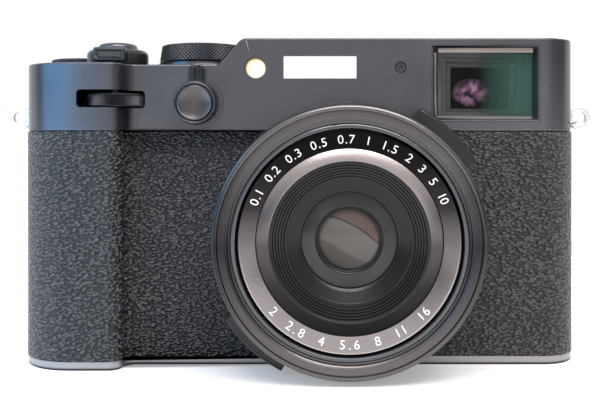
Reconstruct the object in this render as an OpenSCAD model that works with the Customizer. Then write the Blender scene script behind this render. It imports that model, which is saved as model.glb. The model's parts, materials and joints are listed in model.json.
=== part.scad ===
// Compact digital camera with a fixed lens, as an assembly of separate pieces.
// Millimetres. +X is right as seen from the front, the lens looks along -Y, +Z is up.
// The origin is the centre of the tripod socket's mouth, on the underside of the base.

/* [Body] */
// Distance from the middle to the right side
right_w = 64.3; // [63:0.1:65]
// Distance from the middle to the left side
left_w = 63.1; // [62.8:0.1:63.4]
// Thickness of the body without the grip and the lens
body_d = 31; // [31:0.5:32]
// Height to the raised part of the top cover
body_h = 74.8; // [74.4:0.1:75.4]
// Height to the low deck that carries the dials
deck_h = 68.75; // [68.4:0.05:69]
// Height of the seam between the leather and the top cover
seam_h = 53.4; // [53.3:0.1:54]
// Thickness of the base plate
base_t = 1.9; // [1.8:0.05:2]
// Corner radius of the body in plan
corner_r = 8; // [7.6:0.1:8.4]
// Corner radius of the grip in plan
grip_r = 12.5; // [12:0.1:13]
// How far the grip stands ahead of the body
grip_step = 6; // [5.5:0.1:6.5]
// How far the leather stands proud of the metal
leather_proud = 0.2; // [0.1:0.05:0.5]

/* [Top] */
// Where the slope up to the raised part starts, from the middle
slope_x = -18.7; // [-19:0.1:-18.4]
// Radius at the top of that slope
slope_r = 3; // [2:0.1:4]
// Place of the shutter button and its switch
shutter_at = [-43.05, -7.5];
// Place of the shutter speed dial
speed_at = [-23.3, -3.5];
// Radius of the shutter speed dial
speed_r = 10.4; // [9.8:0.1:10.8]
// Place of the exposure dial
exposure_at = [-54.5, 6.5];
// Radius of the exposure dial
exposure_r = 8.3; // [7.8:0.1:8.4]
// Centre of the accessory shoe, from the middle
shoe_x = 11.6; // [10:0.1:13]

/* [Lens] */
// Distance of the lens axis from the middle of the body
lens_x = 11.6; // [11:0.1:12]
// Height of the lens axis
lens_z = 29.9; // [29.8:0.1:30.2]
// How far the front rim of the lens is ahead of the middle of the body
lens_f = 36; // [35.8:0.1:36.2]
// Radius of the front ring
front_ring_r = 28.8; // [28.4:0.1:29]
// Radius of the focus ring
focus_ring_r = 29.4; // [29:0.1:29.5]
// Radius of the aperture ring
aperture_ring_r = 28.6; // [28:0.1:29]
// Radius to the top of the finger tabs of the aperture ring
tab_r = 32.6; // [31:0.1:32.8]
// Radius of the front glass
glass_r = 10.3; // [10:0.1:10.5]

/* [Rear] */
// Width of the tilting screen
screen_w = 67.4; // [66:0.1:67.4]
// Distance of the screen's middle from the middle of the body
screen_x = 20; // [19.8:0.1:20.2]
// Radius of the small round buttons
button_r = 2.6; // [2.2:0.1:2.7]

/* [Hidden] */
$fn = 72;

half_d = body_d / 2;
black = "#26282c";
satin = "#3a3d42";
hide = "#1d1d1f";
glass = "#7f9a94";
eps = 0.02;            // how far a cut runs past a face
gap = 0.1;             // clearance between a moving piece and its seat

wall = 1.3;            // metal wall of the top cover
roof_t = 1.2;          // thickness of the top cover's roof
skin_seat = 0.4;       // how far the front cover lies behind the metal's outline
inner = 1.8;           // inside face of the front and rear covers
rear_split = 8;        // plane where the front and rear covers meet

grip_c = [-left_w + grip_r, -half_d - grip_step + grip_r];
grip_end_x = -42.4;    // where the grip's flat front ends
bead_r = 3;            // both radii of the curve from the grip to the front

raised_x = slope_x + (body_h - deck_h);
round_run = slope_r * tan(22.5);

dial_base_r = 10.7;    // raised base under the shutter speed dial
dial_pocket_r = 11.6;
dial_base_h = 69.6;
front_dial_at = [-41.9, -14.8];
front_dial_r = 6.7;
front_slot_x = [-49.1, -35];
front_slot_z = [58.7, 62.7];
front_dial_z = [58.95, 61.9];
rear_dial_at = [-48.5, 8.4];
rear_dial_r = 7.4;
rear_dial_z = [61.2, 64.8];
spindle_r = 1;
function_at = [-55, -7.5];
selector_at = [-23, 59.8];    // x and z on the front
selector_base_r = 5.9;
selector_r = 4.9;
lamp_at = [-9.7, 67.9];
lamp_r = 2.65;
flash_at = [5.1, 68.1];
flash_size = [16.8, 5.2];
screw_at = [23.6, 68.1];
lug_at = [67.4, -3.5, 56.8];
lug_r = 2.8;
lug_hole_r = 1.55;

finder = [30.7, 55.4, 55.7, 73.25];    // x from, x to, z from, z to of the opening
finder_glass = [32.3, 54.3, 56.9, 71.9];
finder_deep = [36.4, 50.6, 59, 69];
eyepiece = [34, 54, 56.4, 71];
diopter_at = [57.4, 13.2, 66.5];
diopter_r = 3.4;
diopter_w = 2.4;

tripod_r = 3.175;
tripod_len = 5.5;
board_y = [8.3, 9.5];
case_x = [-53.6, -14.8];
case_y = [-13.6, 7];
case_z = [2.1, 51.5];
cell = [36.4, 15.7, 47.1];             // battery
card = [24, 2.1, 32];                  // memory card
door_x = [-55, -14.3];
door_y = [-13.2, 8.2];
door_pin_z = 0.9;
port_y = [-4.6, 7.3];                  // opening for the connector door
port_z = [13.8, 44.2];
port_pin = [-left_w + 0.9, -3.2];
mode_at = [-5.5, 25.7];                // y and z of the focus mode switch
mode_size = [3, 3.5];
mode_travel = 3.5;

recess_x = [screen_x - 35.2, screen_x + 35.2];
recess_y = 11.3;
recess_z = [3.1, 51.2];
bracket_pin = [14.7, 4.8];             // y and z
panel_pin = [15.4, 49.9];
cheek_t = 0.9;
pin_r = 0.5;

play_at = [24, 60];                    // x and z on the rear
drive_at = [12, 60];
lock_at = [-28, 60.5];
quick_at = [-28, 47.5];
menu_at = [-28, 26];
display_at = [-28, 15];
stick_at = [-28, 37];
stick_y = 13.2;                        // pivot of the joystick
gimbal_pin_r = 0.35;

core_r = 24.9;                         // tube that the lens rings turn on
unit_r = 23.5;                         // front part of the moving lens unit
unit_rear_r = 21.1;

// ---- shapes that repeat ----

// Outline of the body in plan, drawn t inside the metal's outer face
module plan(t = 0) {
    difference() {
        union() {
            translate([-left_w + corner_r, grip_c[1]])
                square([left_w + right_w - 2 * corner_r, half_d - t - grip_c[1]]);
            translate([grip_c[0], -half_d + t])
                square([right_w - corner_r - grip_c[0], body_d - 2 * t]);
            translate([grip_c[0], -half_d + corner_r])
                square([right_w - t - grip_c[0], body_d - 2 * corner_r]);
            for (y = [-half_d + corner_r, half_d - corner_r])
                translate([right_w - corner_r, y]) circle(corner_r - t);
            translate([-left_w + t, grip_c[1]])
                square([grip_r, half_d - corner_r - grip_c[1]]);
            translate([-left_w + corner_r, half_d - corner_r]) circle(corner_r - t);
            translate(grip_c) circle(grip_r - t);
            translate([grip_c[0], -half_d - grip_step + t])
                square([grip_end_x - grip_c[0], grip_step + grip_r]);
            translate([grip_end_x, -half_d - grip_step + bead_r]) circle(bead_r - t);
            translate([grip_c[0], -half_d - grip_step + bead_r])
                square([grip_end_x + bead_r - t - grip_c[0], grip_step + 2]);
            translate([grip_end_x + bead_r - t - 1, -half_d - grip_step + bead_r])
                square([bead_r + t + 1, bead_r + t + 1]);
        }
        translate([grip_end_x + 2 * bead_r, -half_d - grip_step + bead_r])
            circle(bead_r + t);
        translate([grip_end_x + bead_r - t, -half_d - grip_step - 1])
            square([bead_r + t + 1, bead_r + 1]);
    }
}

module slab(t, z0, z1) {
    translate([0, 0, z0]) linear_extrude(z1 - z0) plan(t);
}

module box(x, y, z) {
    translate([x[0], y[0], z[0]]) cube([x[1] - x[0], y[1] - y[0], z[1] - z[0]]);
}

// A post along Z at a place in plan
module post(at, r, z0, z1) {
    translate([at[0], at[1], z0]) cylinder(r = r, h = z1 - z0);
}

// A rod along Y through the point (x, z), from y0 to y1
module rod_y(at, r, y0, y1) {
    translate([at[0], y1, at[1]]) rotate([90, 0, 0]) cylinder(r = r, h = y1 - y0);
}

// A rod along X through the point (y, z), from x0 to x1
module rod_x(at, r, x0, x1) {
    translate([x0, at[0], at[1]]) rotate([0, 90, 0]) cylinder(r = r, h = x1 - x0);
}

// The lens's own frame: the profile's second number is the distance ahead of mid-body
module on_lens_axis() {
    translate([lens_x, 0, lens_z]) rotate([90, 0, 0]) children();
}

module turned(points) {
    rotate_extrude() polygon(points);
}

// A round button with a flange that keeps it in its hole
module rear_button(at) {
    rod_y(at, button_r, 13, 16.1);
    rod_y(at, button_r + 0.5, 12.3, 13.1);
}

// ---- shells ----

module top_outline() {
    translate([-left_w - 1, seam_h]) square([left_w + right_w + 2, deck_h - seam_h]);
    translate([raised_x + round_run, body_h - slope_r]) circle(slope_r);
    polygon([[slope_x, deck_h],
        [raised_x - round_run / sqrt(2), body_h - round_run / sqrt(2)],
        [raised_x + round_run, body_h - slope_r],
        [raised_x + round_run, body_h], [right_w + 1, body_h], [right_w + 1, deck_h - 1],
        [slope_x, deck_h - 1]]);
}

module top_cavity() {
    slab(wall, seam_h - eps, deck_h - roof_t);
    intersection() {
        slab(wall, deck_h - roof_t - 1, body_h - roof_t);
        box([-10, right_w], [-half_d, half_d], [seam_h, body_h - roof_t]);
    }
}

module top_cover() {
    color(satin) difference() {
        union() {
            difference() {
                intersection() {
                    slab(0, seam_h, body_h);
                    translate([0, 40, 0]) rotate([90, 0, 0]) linear_extrude(80) top_outline();
                }
                top_cavity();
                post(speed_at, dial_pocket_r, deck_h, body_h + 1);
            }
            post(speed_at, dial_base_r, deck_h - 0.5, dial_base_h);
            post(front_dial_at, 2.2, 63.2, deck_h - roof_t + 0.3);
            post(rear_dial_at, 2, 65.4, deck_h - roof_t + 0.3);
            rod_y(selector_at, selector_base_r, -half_d - 0.7, -half_d + 0.5);
        }
        // round seats of the controls
        post(speed_at, 3 + gap, deck_h - 3, dial_base_h + 1);
        post(exposure_at, 2.5 + gap, deck_h - 3, deck_h + 1);
        post(shutter_at, 1.8 + gap, deck_h - 3, deck_h + 1);
        post(function_at, 2.5 + gap, deck_h - 3, deck_h + 1);
        post(front_dial_at, spindle_r + 0.05, 62, 66.5);
        post(rear_dial_at, spindle_r + 0.05, 65, 67);
        rod_y(selector_at, 1.2 + gap, -half_d - 2, -half_d + 3);
        // windows in the front wall
        rod_y(lamp_at, lamp_r, -half_d - 1, -half_d + 1.6);
        rod_y(screw_at, 1.3, -half_d - 1, -half_d + 2);
        box([flash_at[0] - flash_size[0] / 2, flash_at[0] + flash_size[0] / 2],
            [-half_d - 1, -half_d + 2],
            [flash_at[1] - flash_size[1] / 2, flash_at[1] + flash_size[1] / 2]);
        box([finder[0], finder[1]], [-half_d - 1, -half_d + 2], [finder[2], finder[3]]);
        // slots of the command dials
        translate([(front_slot_x[0] + front_slot_x[1]) / 2, -12,
            (front_slot_z[0] + front_slot_z[1]) / 2]) rotate([90, 0, 0]) linear_extrude(12)
            pad(front_slot_x[1] - front_slot_x[0], front_slot_z[1] - front_slot_z[0], 0.9);
        box([rear_dial_at[0] - 5.4, rear_dial_at[0] + 5.4], [13, 17],
            [rear_dial_z[0] - 0.2, rear_dial_z[1] + 0.2]);
        // rear wall
        box([eyepiece[0], eyepiece[1]], [13, 17], [eyepiece[2], eyepiece[3]]);
        box([diopter_at[0] - diopter_w / 2 - 0.2, diopter_at[0] + diopter_w / 2 + 0.2],
            [9, 17], [diopter_at[2] - diopter_r - 0.2, diopter_at[2] + diopter_r + 0.2]);
        for (at = [play_at, drive_at, lock_at]) rod_y(at, button_r + gap, 13, 17);
        // accessory shoe and strap lugs
        box([shoe_x - 10.9, shoe_x + 10.9], [-7, 13], [body_h - 3, body_h + 1]);
        for (x = [-left_w, right_w])
            rod_x([lug_at[1], lug_at[2]], 1.5 + eps, x - 3, x + 3);
    }
}

module base_plate() {
    color(satin) difference() {
        slab(0, 0, base_t);
        box([door_x[0] - 0.2, door_x[1] + 1.05], [door_y[0] - 0.2, door_y[1] + 0.2], [-1, 3]);
        for (y = [door_y[0] - 1.5, door_y[1] + 0.1])
            rod_y([door_x[1], door_pin_z], pin_r + 0.05, y, y + 1.4);
        post([0, 0], 5.05, -1, 3);
        for (at = base_screw_at) {
            post(at, 1.75, -1, 1.3);
            post(at, 1, -1, 3);
        }
    }
}

base_screw_at = [[-58.5, 3], [58, -9], [58, 9], [6, -11]];

module lens_hole(r) {
    rod_y([lens_x, lens_z], r, -half_d - 2, -half_d + 4);
}

module front_cover() {
    color(black) difference() {
        union() {
            intersection() {
                difference() {
                    slab(skin_seat, base_t, seam_h);
                    slab(inner, base_t - 1, seam_h + 1);
                }
                box([-70, 70], [-30, rear_split], [0, 60]);
            }
            intersection() {
                rod_y([lens_x, lens_z], 29.2, -half_d, -half_d + 1);
                box([-70, 70], [-30, 0], [base_t, seam_h]);
            }
        }
        lens_hole(22.4);
        box([-66, -60], port_y, port_z);
        post(port_pin, 0.45, port_z[0] - 1.3, port_z[1] + 1.3);
        mode_slot();
    }
}

module mode_slot() {
    box([60, 66], [mode_at[0] - mode_size[0] / 2 - 0.2, mode_at[0] + mode_size[0] / 2 + 0.2],
        [mode_at[1] - mode_size[1] / 2 - mode_travel - 0.2,
        mode_at[1] + mode_size[1] / 2 + mode_travel + 0.2]);
}

module rear_cover() {
    color(black) difference() {
        union() {
            intersection() {
                difference() {
                    slab(0, base_t, seam_h);
                    intersection() {
                        slab(inner, base_t - 1, seam_h + 1);
                        box([-70, 70], [0, 13.9], [0, 60]);
                    }
                }
                box([-70, 70], [rear_split, 20], [0, 60]);
            }
            box([recess_x[0] - 1.7, recess_x[1] + 1.2], [recess_y - 1.1, half_d - 0.2],
                [base_t, recess_z[1] + 1.1]);
            thumb_rest();
        }
        box(recess_x, [recess_y, 20], recess_z);
        for (x = [recess_x[0] - 1.2, recess_x[1] - 0.1])
            rod_x(bracket_pin, pin_r + 0.05, x, x + 1.3);
        for (at = [quick_at, menu_at, display_at]) rod_y(at, button_r + gap, 13, 17);
        rod_y(stick_at, 3.2, 13, 17);
    }
}

module thumb_rest() {
    translate([-47, 15.4, 42]) rotate([-90, 0, 0]) hull() {
        linear_extrude(0.5) pad(20, 20, 4);
        linear_extrude(1.8) pad(15, 15, 4);
    }
}

module pad(w, h, r) {
    for (x = [-1, 1]) for (y = [-1, 1])
        translate([x * (w / 2 - r), y * (h / 2 - r)]) circle(r, $fn = 32);
    square([w - 2 * r, h], center = true);
    square([w, h - 2 * r], center = true);
}

module leather() {
    difference() {
        intersection() {
            difference() {
                slab(-leather_proud, base_t + 0.05, seam_h - 0.05);
                slab(skin_seat, base_t - 1, seam_h + 1);
            }
            box([-70, 70], [-30, rear_split], [0, 60]);
        }
        lens_hole(29.3);
    }
}

module grip_leather() {
    color(hide) difference() {
        intersection() {
            leather();
            box([-70, lens_x], [-30, 20], [0, 60]);
        }
        box([-66, -60], port_y, port_z);
    }
}

module side_leather() {
    color(hide) difference() {
        intersection() {
            leather();
            box([lens_x, 70], [-30, 20], [0, 60]);
        }
        mode_slot();
    }
}

// ---- inside the body ----

module chassis() {
    color("#8c8f94") difference() {
        union() {
            box([-13.4, 61.4], [2.6, 4.2], [3, 52.6]);
            slab(2, 52.5, 53.3);
            post(front_dial_at, 2.2, 53.2, 58.4);
            post(rear_dial_at, 2, 53.2, 60.6);
        }
        box([lens_x - 13.5, lens_x + 13.5], [0, 6], [lens_z - 9.5, lens_z + 9.5]);
        post([0, 0], 5.6, 0, 7);
        post(front_dial_at, spindle_r + 0.05, 55.2, 60);
        post(rear_dial_at, spindle_r + 0.05, 57.2, 62);
    }
}

module main_board() {
    color("#1f5a3c") difference() {
        box([-54, 54], board_y, [5, 50.5]);
        for (x = [-50, 50]) for (z = [9, 46]) rod_y([x, z], 1.1, 7, 11);
    }
    color("#303236") {
        box([-8, 6], [board_y[1], 10.1], [14, 28]);
        box([20, 36], [board_y[1], 10.1], [30, 42]);
    }
}

module image_sensor() {
    color("#5a3f78") box([lens_x - 14, lens_x + 14], [4.3, 5.8], [lens_z - 10.5, lens_z + 10.5]);
    color("#1f5a3c") box([lens_x - 18, lens_x + 18], [5.8, 7], [lens_z - 15, lens_z + 15]);
}

module battery_case() {
    color("#303236") difference() {
        box(case_x, case_y, case_z);
        box([case_x[0] + 1, case_x[0] + 1.2 + cell[0]], [case_y[0] + 0.8, case_y[0] + 1 + cell[1]],
            [0, case_z[1] - 0.8]);
        box([card_x - gap, card_x + card[0] + gap], [card_y - gap, card_y + card[1] + gap],
            [0, 36.5]);
    }
}

card_x = case_x[0] + 5.8;
card_y = case_y[0] + cell[1] + 1.9;

module battery() {
    color("#3b3f48")
        box([case_x[0] + 1.1, case_x[0] + 1.1 + cell[0]],
            [case_y[0] + 0.9, case_y[0] + 0.9 + cell[1]], [3.2, 3.2 + cell[2]]);
}

module memory_card() {
    color("#28303c") difference() {
        box([card_x, card_x + card[0]], [card_y, card_y + card[1]], [3.4, 3.4 + card[2]]);
        translate([card_x + card[0] - 3, card_y - 1, 3.4 + card[2] - 0.001])
            rotate([0, -45, 0]) translate([0, 0, -0.001]) cube([6, 5, 6]);
    }
}

module battery_door() {
    color(black) {
        box([door_x[0], door_x[1]], door_y, [0, 2 * door_pin_z]);
        rod_y([door_x[1], door_pin_z], door_pin_z, door_y[0], door_y[1]);
        rod_y([door_x[1], door_pin_z], pin_r, door_y[0] - 1.2, door_y[1] + 1.2);
    }
}

module tripod_socket() {
    color("#a8a9ab") difference() {
        union() {
            post([0, 0], 5, 0, 6);
            post([0, 0], 6.4, base_t, base_t + 1);
        }
        post([0, 0], tripod_r, -1, tripod_len);
    }
}

module screws() {
    color("#505257") {
        for (at = base_screw_at) difference() {
            union() {
                post(at, 1.65, 0.1, 1.25);
                post(at, 0.9, 1, 5);
            }
            translate([at[0], at[1], 0.4]) cube([1.8, 0.4, 0.8], center = true);
            translate([at[0], at[1], 0.4]) cube([0.4, 1.8, 0.8], center = true);
        }
        difference() {
            rod_y(screw_at, 1.2, -half_d + 0.2, -half_d + 1.3);
            rod_y(screw_at, 0.45, -half_d - 1, -half_d + 0.7);
        }
    }
}

// ---- lens ----

module lens_mount() {
    color(satin) on_lens_axis() turned([[21.2, -2.5], [22.3, -2.5], [22.3, 15.5], [29.2, 15.5],
        [29.2, 19.2], [28.8, 19.6], [21.2, 19.6]]);
}

module lens_barrel() {
    color(satin) on_lens_axis() turned([[23.9, 19.6], [core_r, 19.6], [core_r, 35.1],
        [core_r - 0.3, 35.4], [23.9, 35.4]]);
}

module front_ring() {
    color(satin) on_lens_axis() turned([[core_r + 0.05, 32.7], [front_ring_r - 0.3, 32.7],
        [front_ring_r, 33], [front_ring_r, lens_f - 0.7], [front_ring_r - 0.7, lens_f],
        [25.8, lens_f], [25.6, lens_f - 0.2], [25.6, 34.6], [core_r + 0.05, 34.6]]);
}

module focus_ring() {
    color(black) on_lens_axis() turned([[core_r + 0.07, 26.8], [focus_ring_r - 0.5, 26.8],
        [focus_ring_r, 27.3], [focus_ring_r, 31.9], [focus_ring_r - 0.5, 32.4],
        [core_r + 0.07, 32.4]]);
}

module aperture_ring() {
    color(black) on_lens_axis() {
        turned([[core_r + 0.07, 19.9], [aperture_ring_r - 0.3, 19.9], [aperture_ring_r, 20.2],
            [aperture_ring_r, 26.2], [aperture_ring_r - 0.3, 26.5], [core_r + 0.07, 26.5]]);
        for (mid = [46, 228]) rotate([0, 0, mid - 15]) rotate_extrude(angle = 30)
            polygon([[27, 20.5], [tab_r - 0.6, 20.5], [tab_r, 21.1], [tab_r, 25.3],
                [tab_r - 0.6, 25.9], [27, 25.9]]);
    }
}

module inner_barrel() {
    color(black) on_lens_axis() turned([[19.9, -1.4], [unit_rear_r, -1.4], [unit_rear_r, 20.2],
        [unit_r, 20.2], [unit_r, 31.8], [19.9, 31.8]]);
}

module name_ring() {
    color(black) on_lens_axis() turned([[19.8, 31.8], [unit_r, 31.8], [unit_r, 34.3],
        [unit_r - 0.4, 34.3], [19.8, 33.1]]);
}

ridge_outer = 16.6;
ridge_inner = 10.8;
ridge_top = 34;
ridge_floor = 28.9;
ridges = 9;
ridge_run = (ridge_outer - ridge_inner) / ridges;
ridge_drop = (ridge_top - ridge_floor) / ridges;

module ridged_baffle() {
    steps = [for (i = [0 : ridges - 1]) for (k = [0, 1])
        [ridge_outer - i * ridge_run - k * 0.15,
        ridge_top - (i + k) * ridge_drop]];
    color(black) on_lens_axis() turned(concat([[11.6, 23.5], [11.6, 26], [19.8, 26], [19.8, 32.8],
        [17, 34.2], [16.7, 34.2]], steps, [[glass_r + gap, ridge_floor], [glass_r + gap, 23.5]]));
}

module front_element() {
    sag = 1.2;
    ball = (glass_r * glass_r + sag * sag) / (2 * sag);
    color(glass) on_lens_axis() intersection() {
        translate([0, 0, 24]) cylinder(r = glass_r, h = 6);
        translate([0, 0, 28.3 + sag - ball]) sphere(ball, $fn = 200);
    }
}

module shutter_unit() {
    color(black) on_lens_axis() turned([[9.2, -0.4], [19.7, -0.4], [19.7, 22], [12, 22],
        [12, 18], [6.8, 15.2], [6.8, 14.6], [9.2, 10]]);
}

module rear_element() {
    color(glass) on_lens_axis() translate([0, 0, 0]) cylinder(r = 9.1, h = 6);
}

// ---- viewfinder, flash and lamp ----

module rect_slab(r, y0, y1) {
    box([r[0], r[1]], [y0, y1], [r[2], r[3]]);
}

module viewfinder_frame() {
    color(satin) difference() {
        rect_slab([finder[0] + 0.05, finder[1] - 0.05, finder[2] + 0.05, finder[3] - 0.05],
            -half_d, -12.2);
        hull() {
            rect_slab([finder[0] + 0.25, finder[1] - 0.25, finder[2] + 0.25, finder[3] - 0.25],
                -half_d - 0.1, -half_d - 0.05);
            rect_slab(finder_glass, -13.65, -13.6);
        }
        rect_slab(finder_glass, -14, -12);
    }
}

module viewfinder_glass() {
    color(glass) rect_slab([finder_glass[0] + gap, finder_glass[1] - gap,
        finder_glass[2] + gap, finder_glass[3] - gap], -13.4, -12.6);
}

module viewfinder_tunnel() {
    steps = 4;
    depth = 2.5;
    color(black) difference() {
        rect_slab([31.4, 55.2, 56, 72.8], -12.1, -12.1 + steps * depth);
        for (i = [0 : steps - 1]) {
            k = i / (steps - 1);
            rect_slab(finder_glass * (1 - k) + finder_deep * k,
                -12.2 + i * depth, -12 + (i + 1) * depth);
        }
    }
}

module viewfinder_prism() {
    color(glass) box([35, 52], [-2, 8], [57.5, 70.5]);
}

module eyepiece_frame() {
    color(black) difference() {
        union() {
            rect_slab([eyepiece[0] + 0.05, eyepiece[1] - 0.05, eyepiece[2] + 0.05,
                eyepiece[3] - 0.05], 13, half_d + 0.1);
            rect_slab([eyepiece[0] - 1.4, eyepiece[1] + 1.2, eyepiece[2] - 1.4,
                eyepiece[3] + 1.4], half_d, half_d + 1.5);
        }
        rect_slab([37, 51, 58.8, 68.6], 12, 20);
    }
}

module eyepiece_lens() {
    color(glass) rect_slab([37.1, 50.9, 58.9, 68.5], 13.4, 15.2);
}

module diopter_dial() {
    color(black) rod_x([diopter_at[1], diopter_at[2]], diopter_r,
        diopter_at[0] - diopter_w / 2, diopter_at[0] + diopter_w / 2);
}

module flash_window() {
    w = flash_size[0] / 2;
    h = flash_size[1] / 2;
    color("#e9e9e4") {
        box([flash_at[0] - w + 0.05, flash_at[0] + w - 0.05], [-half_d + 0.2, -half_d + 1.5],
            [flash_at[1] - h + 0.05, flash_at[1] + h - 0.05]);
        box([flash_at[0] - w - 1, flash_at[0] + w + 1], [-half_d + 1.4, -half_d + 4],
            [flash_at[1] - h - 0.8, flash_at[1] + h + 0.8]);
    }
}

module focus_lamp() {
    color("#f0dca6") rod_y(lamp_at, lamp_r - 0.05, -half_d + 0.4, -half_d + 1.5);
}

// ---- top controls ----

module hot_shoe() {
    floor_z = 72.9;
    slot_h = 2.05;
    rail_top = floor_z + slot_h + 0.65;
    color("#8a8c90") difference() {
        box([shoe_x - 10.8, shoe_x + 10.8], [-6.9, 12.9], [floor_z - 0.9, rail_top]);
        box([shoe_x - 9.35, shoe_x + 9.35], [-5.9, 14], [floor_z, floor_z + slot_h]);
        box([shoe_x - 6.25, shoe_x + 6.25], [-8, 14], [floor_z, rail_top + 1]);
    }
}

// A ring on a post through the side wall, with a collar against the wall
module strap_lug(at_x, post_x, collar_x) {
    color("#d6d7d9") difference() {
        union() {
            rod_x([lug_at[1], lug_at[2]], 1.5, post_x[0], post_x[1]);
            rod_x([lug_at[1], lug_at[2]], 2.4, collar_x[0], collar_x[1]);
            rod_y([at_x, lug_at[2]], lug_r, lug_at[1] - 0.7, lug_at[1] + 0.7);
        }
        rod_y([at_x, lug_at[2]], lug_hole_r, lug_at[1] - 2.5, lug_at[1] + 2.5);
    }
}

module strap_lugs() {
    strap_lug(-lug_at[0], [-65.5, -left_w + 1.1], [-left_w - 0.7, -left_w]);
    strap_lug(lug_at[0], [right_w - 1.1, 65.5], [right_w, right_w + 0.7]);
}

module shutter_button() {
    color(satin) difference() {
        translate([shutter_at[0], shutter_at[1], 0]) turned([[0, 64.2], [1.8, 64.2], [1.8, 70.2],
            [4.6, 70.2], [4.6, 73.5], [4.2, 74], [3.2, 74.3], [1.9, 74.4], [0, 74.4]]);
        post(shutter_at, 1.2, 71.4, 75);
    }
}

module power_switch() {
    tab_w = 7.4;
    color(satin) difference() {
        union() {
            post(shutter_at, 7.15, 69, 72.7);
            box([shutter_at[0] - tab_w / 2, shutter_at[0] + tab_w / 2],
                [shutter_at[1] - 9, shutter_at[1]], [69.4, 72.7]);
        }
        post(shutter_at, 4.7, 68, 74);
    }
}

module shutter_speed_dial() {
    color(satin) {
        post(speed_at, 8.6, 69.9, 74.2);
        post(speed_at, 3, 66.4, 70);
    }
}

module sensitivity_ring() {
    color(satin) translate([speed_at[0], speed_at[1], 0])
        turned([[8.7, 69.9], [speed_r, 69.9], [speed_r, 73.6], [speed_r - 0.4, 74], [8.7, 74]]);
}

module exposure_dial() {
    color(satin) translate([exposure_at[0], exposure_at[1], 0])
        turned([[0, 66.2], [2.5, 66.2], [2.5, 69], [exposure_r, 69], [exposure_r, 71.1],
            [exposure_r - 0.4, 71.5], [0, 71.5]]);
}

module function_button() {
    color(satin) {
        post(function_at, 2.5, 66.8, 69.45);
        post(function_at, 3.2, 66.1, 66.9);
    }
}

module front_dial() {
    color(black) {
        post(front_dial_at, front_dial_r, front_dial_z[0], front_dial_z[1]);
        post(front_dial_at, spindle_r, 55.4, 66.3);
    }
}

module rear_dial() {
    color(black) {
        post(rear_dial_at, rear_dial_r, rear_dial_z[0], rear_dial_z[1]);
        post(rear_dial_at, spindle_r, 57.4, 66.8);
    }
}

module selector_lever() {
    color(satin) {
        difference() {
            rod_y(selector_at, selector_r, -20.3, -16.35);
            rod_y(selector_at, selector_r - 0.75, -21, -17);
        }
        rod_y(selector_at, 1.2, -16.4, -12.9);
        box([selector_at[0] - 1.75, selector_at[0] + 1.75], [-19.3, -16.8],
            [selector_at[1] + selector_r - 0.4, 68.3]);
    }
}

module selector_button() {
    color(satin) rod_y(selector_at, selector_r - 0.75 - gap, -20.6, -17.5);
}

// ---- rear controls ----

module play_button() {
    color(black) rear_button(play_at);
}

module drive_button() {
    color(black) rear_button(drive_at);
}

module lock_button() {
    color(black) rear_button(lock_at);
}

module quick_button() {
    color(black) rear_button(quick_at);
}

module menu_button() {
    color(black) rear_button(menu_at);
}

module display_button() {
    color(black) rear_button(display_at);
}

module joystick_gimbal() {
    color("#505257") difference() {
        union() {
            rod_y(stick_at, 3, stick_y - 0.6, stick_y + 0.6);
            post([stick_at[0], stick_y], gimbal_pin_r, stick_at[1] - 3.6, stick_at[1] + 3.6);
        }
        rod_y(stick_at, 1.7, stick_y - 2, stick_y + 2);
        rod_x([stick_y, stick_at[1]], gimbal_pin_r + 0.05, stick_at[0] - 4, stick_at[0] + 4);
    }
}

module joystick() {
    color(black) {
        rod_y(stick_at, 1.3, 11.8, 16.5);
        rod_y(stick_at, 2.9, 16.2, 17.2);
        rod_x([stick_y, stick_at[1]], gimbal_pin_r, stick_at[0] - 2.6, stick_at[0] + 2.6);
    }
}

module screen_bracket() {
    edge = [screen_x - screen_w / 2 - 1.2, screen_x + screen_w / 2 + 1.2];
    color(black) {
        box(edge, [11.6, 12.4], [6, 48]);
        for (x = [edge[0], edge[1] - cheek_t]) difference() {
            union() {
                box([x, x + cheek_t], [11.6, 16.1], [bracket_pin[1], 50]);
                rod_x(bracket_pin, 1.1, x, x + cheek_t);
                rod_x([15.2, 50], 0.9, x, x + cheek_t);
            }
            rod_x(panel_pin, pin_r + 0.05, x - 1, x + 2);
        }
        rod_x(bracket_pin, pin_r, edge[0] - 1.3, edge[0] + 0.1);
        rod_x(bracket_pin, pin_r, edge[1] - 0.1, edge[1] + 1.3);
    }
}

module screen_panel() {
    x0 = screen_x - screen_w / 2;
    x1 = screen_x + screen_w / 2;
    color("#101114") {
        box([x0, x1], [12.8, 16.3], [5.4, 50.6]);
        rod_x(panel_pin, pin_r, x0 - 1.1, x0 + 0.1);
        rod_x(panel_pin, pin_r, x1 - 0.1, x1 + 1.1);
    }
}

module focus_mode_switch() {
    color(satin) {
        box([61.6, 65], [mode_at[0] - mode_size[0] / 2, mode_at[0] + mode_size[0] / 2],
            [mode_at[1] - mode_size[1] / 2, mode_at[1] + mode_size[1] / 2]);
        box([60.8, 61.9], [mode_at[0] - 3, mode_at[0] + 3], [mode_at[1] - 5, mode_at[1] + 5]);
    }
}

module connector_door() {
    color(hide) {
        box([-left_w - leather_proud, port_pin[0] + 0.6], [port_pin[1], port_y[1] - 0.2],
            [port_z[0] + 0.2, port_z[1] - 0.2]);
        post(port_pin, 0.6, port_z[0] + 0.2, port_z[1] - 0.2);
        post(port_pin, 0.4, port_z[0] - 1.1, port_z[1] + 1.1);
    }
}

module port_block() {
    color("#303236") difference() {
        box([-left_w + 1.9, -54.2], [-3.4, 6.4], [15, 43]);
        for (z = [18, 27.5, 37]) box([-63, -56], [-1.4, 4.4], [z, z + 3.4]);
    }
}

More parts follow.
